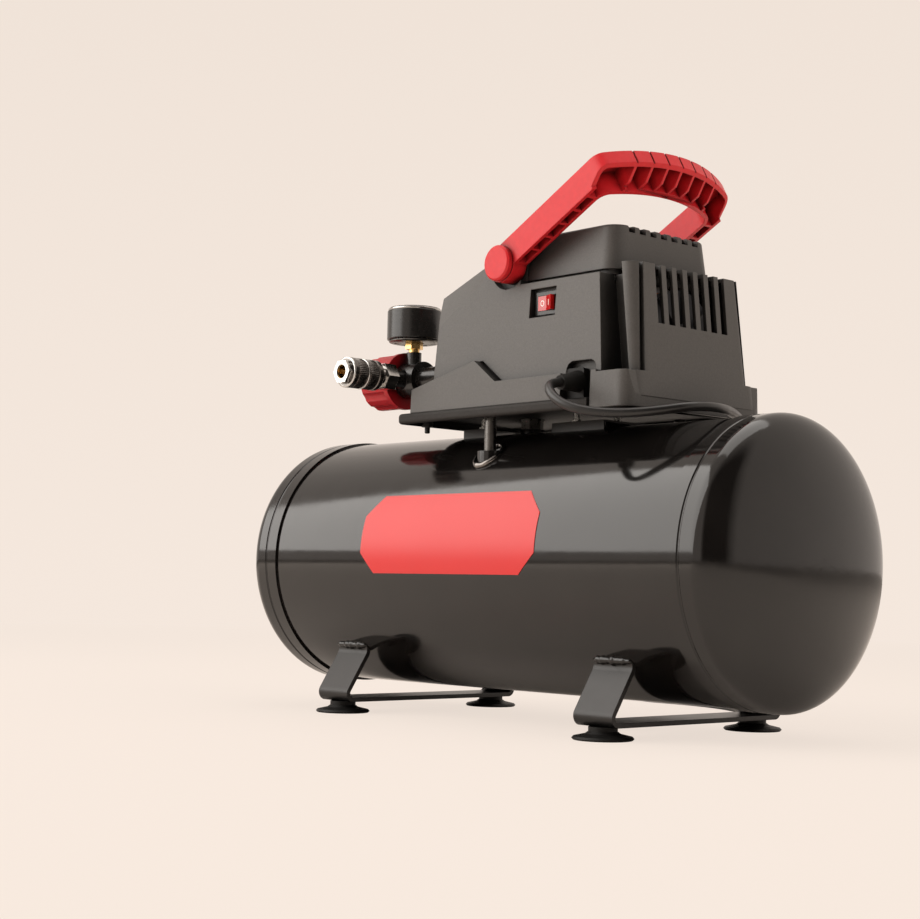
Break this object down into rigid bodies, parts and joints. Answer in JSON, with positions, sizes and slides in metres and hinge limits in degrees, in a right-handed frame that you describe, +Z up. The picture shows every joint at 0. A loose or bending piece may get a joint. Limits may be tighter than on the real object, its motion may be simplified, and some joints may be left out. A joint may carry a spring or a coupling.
{
  "type": "air compressor",
  "caption": "Portable oil-free air compressor: horizontal tank on strap feet, shrouded pump and motor, folding carry handle, regulator with gauge and quick coupler.",
  "frame": {"origin": "on the floor, under the middle of the tank", "axes": "+X along the tank to the motor end, +Y to the back, away from the coupler, +Z up"},
  "size_m": [0.4732, 0.4141, 0.3729],
  "materials": {
    "tank_paint": "gloss black powder coat",
    "bracket_paint": "semi-gloss black paint",
    "plate_red": "gloss red film",
    "rubber_black": "matt black rubber",
    "cord_pvc": "satin black PVC",
    "shroud_plastic": "fine-grained charcoal moulding",
    "tray_plastic": "satin black moulding",
    "red_plastic": "satin red moulding",
    "switch_red": "gloss red",
    "zinc_steel": "bright zinc",
    "cast_aluminium": "die cast",
    "cup_polymer": "filled polymer",
    "lamination_steel": "stacked laminations",
    "copper_wire": "varnished copper",
    "copper_tube": "bright copper",
    "brass": "machined brass",
    "control_black": "satin black",
    "dial_white": "white dial",
    "needle_red": "red",
    "clear_lens": "clear polycarbonate",
    "chrome_plate": "bright nickel plate",
    "dark_chrome": "dark knurled steel"
  },
  "bodies": {
    "compressor": {"tank_shell": "tank_paint", "tank_head_left": "tank_paint", "tank_head_right": "tank_paint", "cover_screws": "bracket_paint", "saddle_bracket_left": "bracket_paint", "saddle_bracket_right": "bracket_paint", "foot_bracket_left": "bracket_paint", "foot_bracket_right": "bracket_paint", "tank_decal": "plate_red", "rubber_feet": "rubber_black", "strain_relief": "rubber_black", "cord_tie": "rubber_black", "cord_tube": "cord_pvc", "cord_coil": "cord_pvc", "power_plug": "cord_pvc", "main_shroud": "shroud_plastic", "top_cover": "shroud_plastic", "base_tray": "tray_plastic", "switch_bezel": "tray_plastic", "handle_pivots": "red_plastic", "check_valve": "zinc_steel", "tray_bolts": "zinc_steel", "head_bolts": "zinc_steel", "tank_bungs": "zinc_steel", "outlet_pipe": "zinc_steel", "motor_bearings": "zinc_steel", "pump_frame": "cast_aluminium", "cylinder": "cast_aluminium", "valve_plate": "cast_aluminium", "cylinder_head": "cast_aluminium", "motor_end_bell": "cast_aluminium", "manifold": "cast_aluminium", "intake_filter": "cup_polymer", "motor_stator": "lamination_steel", "motor_windings": "copper_wire", "discharge_tube": "copper_tube", "safety_valve_body": "brass", "gauge_stem": "brass", "drain_valve_body": "brass", "pressure_switch": "control_black", "regulator_body": "control_black", "gauge_case": "control_black", "gauge_dial": "dial_white", "gauge_lens": "clear_lens", "coupler_body": "chrome_plate"},
    "handle": {"handle": "red_plastic"},
    "rocker": {"switch_rocker": "switch_red"},
    "knob": {"regulator_knob": "red_plastic"},
    "sleeve": {"coupler_sleeve": "dark_chrome"},
    "needle": {"gauge_needle": "needle_red"},
    "pull_ring": {"safety_valve_ring": "zinc_steel"},
    "drain_key": {"drain_valve_key": "brass"},
    "rotor": {"motor_shaft": "zinc_steel", "motor_rotor": "lamination_steel", "cooling_fan": "tray_plastic", "eccentric": "cast_aluminium"},
    "piston": {"piston_rod": "cast_aluminium", "piston_cup": "cup_polymer", "rod_bearing": "zinc_steel", "crank_pin": "zinc_steel"}
  },
  "joints": [
    {"name": "handle_swing", "type": "hinge", "parent": "compressor", "child": "handle", "pos_m": [0.019, 0, 0.3055], "axis": [0, 1, 0], "range_deg": [-72, 27]},
    {"name": "switch_rock", "type": "hinge", "parent": "compressor", "child": "rocker", "pos_m": [0.054, -0.0524, 0.2765], "axis": [0, 0, 1], "range_deg": [0, 24]},
    {"name": "knob_turn", "type": "hinge", "parent": "compressor", "child": "knob", "pos_m": [-0.128, -0.03, 0.2397], "axis": [1, 0, 0], "range_deg": [-540, 540]},
    {"name": "sleeve_slide", "type": "slide", "parent": "compressor", "child": "sleeve", "axis": [0, 1, 0], "range_m": [0, 0.004], "stiffness_N_per_m": 1500, "springref_m": -0.002},
    {"name": "needle_sweep", "type": "hinge", "parent": "compressor", "child": "needle", "pos_m": [-0.1063, -0.03, 0.2876], "axis": [0, 0, 1], "range_deg": [-270, 0]},
    {"name": "ring_pull", "type": "slide", "parent": "compressor", "child": "pull_ring", "axis": [0, 1, 0], "range_m": [0, 0.003], "stiffness_N_per_m": 1500, "springref_m": -0.002},
    {"name": "drain_turn", "type": "hinge", "parent": "compressor", "child": "drain_key", "pos_m": [0, 0.038, 0.018], "axis": [0, 0, 1], "range_deg": [0, 360]},
    {"name": "shaft_spin", "type": "hinge", "parent": "compressor", "child": "rotor", "pos_m": [0.086, 0, 0.252], "axis": [1, 0, 0], "continuous": true},
    {"name": "piston_slide", "type": "slide", "parent": "compressor", "child": "piston", "axis": [0, 0, 1], "range_m": [-0.016, 0]}
  ]
}
